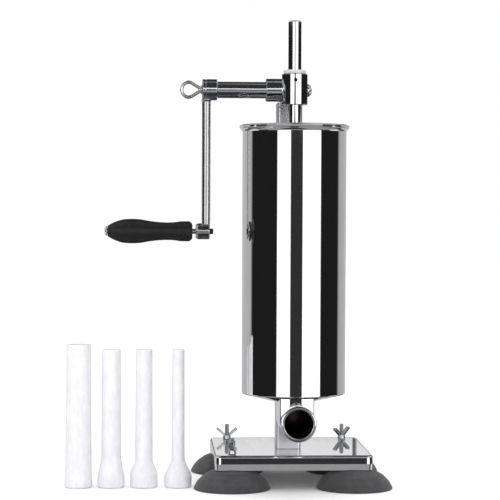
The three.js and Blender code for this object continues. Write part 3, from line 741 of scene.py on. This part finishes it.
def make_handle_pin():
    """The domed pin that the grip spins on, and the small black cap on its inner end."""
    head, end = low("handle_bolt").x, high("handle_bolt").x
    head_r, shank, thread = 4.6, 2.5, 1.6
    thread_start = low("handle_bolt_cap").x - 0.2
    pin = turned("handle_pin", rounded([
        (0, head), (2.6, head, 1.2), (head_r, head + 1.7, 0.8), (head_r, head + 2.4, 0.2),
        (shank, head + 2.4), (shank, thread_start), (thread, thread_start), (thread, end), (0, end),
    ], 6), GRIP_AXIS, "X", 48)
    place(pin, "crank", "polished_steel", STEEL_PLAIN, "handle_bolt")
    bore, outer, lo, hi = 1.9, 2.75, low("handle_bolt_cap").x, high("handle_bolt_cap").x
    cap = turned("handle_pin_cap", rounded([
        (bore, lo, 0.1), (outer, lo, 0.3), (outer, hi, 0.8), (0, hi), (0, hi - 1), (bore, hi - 1)
    ], 5), GRIP_AXIS, "X", 40)
    place(cap, "crank", "black_plastic", BLACK, "handle_bolt_cap")


def make_shaft_end():
    """A domed screw head that closes the inner end of the drive shaft."""
    lo, hi = low("shaft_end_screw").x, high("shaft_end_screw").x
    thread, r, dome_height = 1.6, 6.25, 4.2
    seat = hi - 5.2
    dome = [(r * math.cos(a), seat + 1 + dome_height * math.sin(a)) for a in evenly(0, math.pi / 2, 10)]
    profile = [(0, lo), (thread, lo), (thread, seat), (r - 0.15, seat), (r, seat + 0.2), *dome]
    screw = turned("shaft_end_dome", profile, SHAFT_AXIS, "X", 64)
    place(screw, "crank", "polished_steel", STEEL_PLAIN, "shaft_end_screw")


def smooth_curve(knots, samples):
    """Catmull-Rom interpolation through (a, b) knots."""
    padded = [knots[0], *knots, knots[-1]]
    points = []
    for i in range(1, len(padded) - 2):
        p0, p1, p2, p3 = (Vector(p) for p in padded[i - 1:i + 3])
        for k in range(samples):
            t = k / samples
            points.append(tuple(0.5 * (
                2 * p1 + (p2 - p0) * t + (2 * p0 - 5 * p1 + 4 * p2 - p3) * t * t
                + (3 * p1 - p0 - 3 * p2 + p3) * t ** 3
            )))
    points.append(tuple(knots[-1]))
    return points


def make_grip():
    """A black handle, thickest near its free end, waisted near the crank and closed there by a collar."""
    start, end = low("hand_grip").x, high("hand_grip").x
    bore = 2.85
    swelling = smooth_curve([
        (5, start), (8.4, start + 6), (11.1, start + 14), (11.8, start + 22), (11.5, start + 31),
        (10.0, start + 40), (8.9, start + 49), (8.5, start + 57), (8.7, start + 63), (9.2, start + 68),
    ], 10)
    collar = rounded([
        (9.2, start + 68), (9.6, start + 69, 0.6), (9.8, end - 3, 1.5), (7.8, end - 0.4, 0.8),
        (6.4, end, 0.5), (bore, end, 0.3),
    ], 6)[1:]
    outline = [(bore, start + 0.4), (bore + 0.4, start), *swelling, *collar]
    grip = turned("moulded_grip", outline, GRIP_AXIS, "X", 128, 50)
    place(grip, "grip", "black_plastic", BLACK, "hand_grip")


def make_clamp_screw():
    """Wire bent to a teardrop loop, its two legs closed in the flared collar of the screw."""
    lo = low("clamp_screw").x
    wire, half_length, half_height, sides = 1.7, 6.6, 7.2, 24
    sideways = Vector((0, 1, 0))
    centre_x = lo + wire + half_length
    face = low("crank_hub").x - 0.3
    root = Vector((face - 2.0, 0, 1.4))
    tangent = math.acos(half_length / (root.x - centre_x))

    def on_ellipse(angle):
        return Vector((centre_x + half_length * math.cos(angle), 0, half_height * math.sin(angle)))

    leg = [root.lerp(on_ellipse(tangent), k / 8) for k in range(8)]
    bend = [on_ellipse(angle) for angle in evenly(tangent, TAU - tangent, 44)]
    path = [*leg, *bend, *[Vector((point.x, 0, -point.z)) for point in reversed(leg)]]
    rings = []
    for i, point in enumerate(path):
        along = (path[min(i + 1, len(path) - 1)] - path[max(i - 1, 0)]).normalized()
        out = along.cross(sideways)
        around = [TAU * k / sides for k in range(sides)]
        rings.append([
            point + SHAFT_AXIS + wire * (math.cos(a) * out + math.sin(a) * sideways) for a in around
        ])
    loop = loft("loop", rings, closed=False, sharp_angle=40)
    flange, thread = 4.3, 2
    neck = turned("neck", rounded([
        (0, face - 3.4), (2.7, face - 3.4, 0.8), (3.1, face - 1.6, 0.6), (flange, face - 0.7, 0.3),
        (flange, face, 0.2), (thread, face), (thread, face + 10), (0, face + 10),
    ]), SHAFT_AXIS, "X", 48)
    screw = merged("clamp_screw_body", [loop, neck])
    place(screw, "clamp_screw", "polished_steel", STEEL_PLAIN, "clamp_screw")


# ---- Loose nozzles ----
# Radius at the tip and above the flare, then the heights where the flare starts to narrow and where it ends.
NOZZLE_SHAPES = {
    "wide": (12.0, 13.1, 5, 12),
    "medium": (9.2, 9.8, 9, 28),
    "small": (8.2, 8.7, 14, 25),
    "narrow": (6.1, 6.5, 11, 26),
}


def make_nozzle(kind):
    """A thin tapering tube standing on its flared end."""
    node = f"nozzle_{kind}"
    centre = middle(node)
    top, base, wall = high(node).z, half_width(node), 1.2
    tip, neck, flare_low, flare_high = NOZZLE_SHAPES[kind]
    outline = rounded([
        (base - 0.8, 0, 0.4), (base - 0.15, 1.5, 1.5), (base, flare_low, 6), (neck, flare_high, 10),
        (tip, top, 1.0), (tip - wall, top, 0.5), (neck - wall, flare_high, 10), (base - wall, flare_low, 6),
        (base - wall - 0.4, 0, 0.3),
    ], 10)
    nozzle = turned(f"{node}_tube", outline, Vector((centre.x, centre.y, 0)), sides=96, sharp_angle=60)
    place(nozzle, node, "white_plastic", WHITE, node)


def finish_cad_nodes():
    """Every CAD node gets the finish of its slot, and the set screw deep in its hole a blackened one."""
    by_slot = {
        "polished_steel": STEEL_PLAIN, "zinc_hardware": ZINC, "rubber": RUBBER, "black_plastic": BLACK,
        "nylon": NYLON, "white_plastic": WHITE, "silicone": SILICONE,
    }
    for part in frame["record"]["subparts"]:
        materials = frame["nodes"][part["node"]].data.materials
        materials.clear()
        materials.append(by_slot[part["material_slot"]])
    frame["nodes"]["sleeve_set_screw"].data.materials[0] = BLACKENED


# ---- Studio: pale floor, soft light, a room of soft boxes for the steel to mirror ----
# The room is given as full turns of (degrees from the viewing side, brightness) stops, from -180 to 180.
EVEN_LIGHT = 0.76
BOX, GAP = 1.7, 0.014


def both_sides(*stops):
    """A full turn given by its right half."""
    return [*((-angle, brightness) for angle, brightness in reversed(stops)), *stops]


def two_boxes(start, end, between):
    """Two bright soft boxes before the object, with a darker strip between them."""
    return [(-38, GAP), (-36.5, BOX), (start - 1, BOX), (start, between), (end, between), (end + 1, BOX),
            (60, BOX), (61.5, GAP)]


# The room's layers from the nadir up, each with the height in degrees at which it starts.
ROOM = [
    (-90, both_sides((30, 0.04), (45, 0.35), (130, 0.35), (150, 0.04), (180, 0.04))),
    (-30, both_sides((60, 0.36), (62, 0.08), (88, 0.08), (90, 1.0), (118, 1.0), (120, 0.08), (148, 0.08),
                     (150, 0.60), (180, 0.60))),
    (-9.5, [(-180, 0.60), (-112, 0.50), (-105, GAP), *two_boxes(-7.5, 18.5, 0.035), (112, GAP), (119, 0.45),
            (180, 0.60)]),
    (3.2, [(-180, GAP), (-105, GAP), *two_boxes(-4, 12, 0.30), (112, GAP), (180, GAP)]),
    (6.7, both_sides((60, 1.3), (62, 0.45), (120, 0.70), (180, 0.85))),
    (17, both_sides((35, 0.03), (50, 0.50), (130, 0.50), (155, 0.03), (180, 0.03))),
]
LAYER_BLEND = 0.6


def make_floor():
    shape = bmesh.new()
    bmesh.ops.create_circle(shape, cap_ends=True, segments=96, radius=9.0)
    floor = object_from("floor", shape)
    floor.location.z = -0.0002
    finish = Finish("studio_floor")
    finish.set(Specular_IOR_Level=0.1)
    finish.colours(finish.noise(3, 2), (0.93, 0.93, 0.93), (0.95, 0.95, 0.95))
    finish.rough(finish.spread(finish.noise(8, 2), 0.8, 0.9))
    floor.data.materials.append(finish.material)
    floor.visible_glossy = False


def make_world(camera):
    """White to the eye, even white light on matt surfaces, and for mirrors the room of soft boxes."""
    world = bpy.data.worlds.new("studio")
    scene.world = world
    world.use_nodes = True
    tree = world.node_tree
    tree.nodes.clear()
    link = tree.links.new

    def node(kind, **inputs):
        made = tree.nodes.new(kind)
        for name, value in inputs.items():
            made.inputs[name].default_value = value
        return made

    def maths(operation, *values):
        made = tree.nodes.new("ShaderNodeMath")
        made.operation = operation
        for socket, value in zip(made.inputs, values):
            if isinstance(value, (int, float)):
                socket.default_value = value
            else:
                link(value, socket)
        return made.outputs[0]

    direction = node("ShaderNodeTexCoord").outputs["Generated"]
    parts = node("ShaderNodeSeparateXYZ")
    link(direction, parts.inputs[0])
    to_camera = Vector(camera.location) - Vector((BARREL_AXIS * MM).to_tuple())
    facing = math.degrees(math.atan2(to_camera.x, -to_camera.y))
    azimuth = maths("ARCTAN2", parts.outputs["X"], maths("MULTIPLY", parts.outputs["Y"], -1.0))
    turn = maths("DIVIDE", azimuth, TAU)
    turn = maths("ADD", turn, 0.5 - facing / 360)
    turn = maths("FRACT", maths("ADD", turn, 1.0))

    def layer(stops):
        ramp = node("ShaderNodeValToRGB")
        link(turn, ramp.inputs["Fac"])
        set_bands(ramp.color_ramp, stops)
        return ramp.outputs["Color"]

    elevation = maths("MULTIPLY", maths("ARCSINE", parts.outputs["Z"]), 360 / TAU)
    mirror_light = layer(ROOM[0][1])
    for height, stops in ROOM[1:]:
        above = maths("ADD", elevation, LAYER_BLEND / 2 - height)
        blend = node("ShaderNodeMix")
        blend.data_type = "RGBA"
        blend.clamp_factor = True
        link(maths("DIVIDE", above, LAYER_BLEND), blend.inputs[0])
        link(mirror_light, blend.inputs[6])
        link(layer(stops), blend.inputs[7])
        mirror_light = blend.outputs[2]

    paths = node("ShaderNodeLightPath")
    glossy = node("ShaderNodeBackground")
    link(mirror_light, glossy.inputs["Color"])
    even = node("ShaderNodeBackground", Color=(1.0, 1.0, 1.0, 1))
    link(maths("SUBTRACT", EVEN_LIGHT, maths("MULTIPLY", paths.outputs["Is Camera Ray"], EVEN_LIGHT - 1)),
         even.inputs["Strength"])
    mix = node("ShaderNodeMixShader")
    link(paths.outputs["Is Glossy Ray"], mix.inputs[0])
    link(even.outputs[0], mix.inputs[1])
    link(glossy.outputs[0], mix.inputs[2])
    out = node("ShaderNodeOutputWorld")
    link(mix.outputs[0], out.inputs["Surface"])


def set_bands(ramp, stops):
    """Puts the stops of a full turn on a new ramp, which starts out with one element at each end."""
    for i, (angle, brightness) in enumerate(stops):
        spot = (angle + 180) / 360
        if i == 0 or i == len(stops) - 1:
            element = ramp.elements[0 if i == 0 else -1]
            element.position = spot
        else:
            element = ramp.elements.new(spot)
        element.color = (brightness, brightness, brightness, 1)


def make_light(name, kind, strength):
    """A lamp that lights the object but isn't mirrored in it."""
    data = bpy.data.lights.new(name, kind)
    data.energy = strength
    light = bpy.data.objects.new(name, data)
    scene.collection.objects.link(light)
    light.visible_glossy = False
    return light


def make_lights():
    """A soft key light from the front and a wide glow from above."""
    key_spot, key_target = Vector((-0.2, -2.0, 0.7)), Vector((0, 0, 0.15))
    key = make_light("key", "AREA", 11)
    key.data.shape = "DISK"
    key.data.size = 1.2
    key.location = key_spot
    key.rotation_euler = (key_target - key_spot).to_track_quat("-Z", "Y").to_euler()
    key.visible_camera = False
    overhead = make_light("overhead", "SUN", 1.7)
    overhead.data.angle = math.radians(80)


def make_camera():
    """The photo's viewpoint, nearly level with the middle of the barrel and 1.7 m in front of it."""
    eye = BARREL_AXIS + Vector((-138, -1731, 266.7))
    yaw, pitch, roll = math.radians(3.16), math.radians(-1.1), math.radians(0.25)
    data = bpy.data.cameras.new("camera")
    camera = bpy.data.objects.new("camera", data)
    scene.collection.objects.link(camera)
    data.sensor_width = 36
    data.lens = 129.6
    data.clip_end = 50
    camera.location = eye * MM
    heading = Matrix.Rotation(-yaw, 3, "Z")
    tilt = Matrix.Rotation(math.pi / 2 + pitch, 3, "X")
    camera.rotation_euler = (heading @ tilt @ Matrix.Rotation(roll, 3, "Z")).to_euler()
    scene.camera = camera
    return camera


# ---- The whole scene ----
finish_cad_nodes()
make_base_plate()
for foot in FEET:
    make_cup(foot)
    make_stud(foot)
for foot, turn in (("rear_left", 4), ("rear_right", 40), ("front_left", 82)):
    make_wing_nut(foot, turn)
make_post()
make_housing()
make_shaft_tube()
make_rod_bush()
make_barrel()
make_throat()
make_pipe()
make_rack_rod()
make_piston()
make_crank()
make_grip()
make_clamp_screw()
for kind in NOZZLE_SHAPES:
    make_nozzle(kind)

make_floor()
make_world(make_camera())
make_lights()
scene.view_settings.view_transform = "Standard"
scene.view_settings.look = "None"
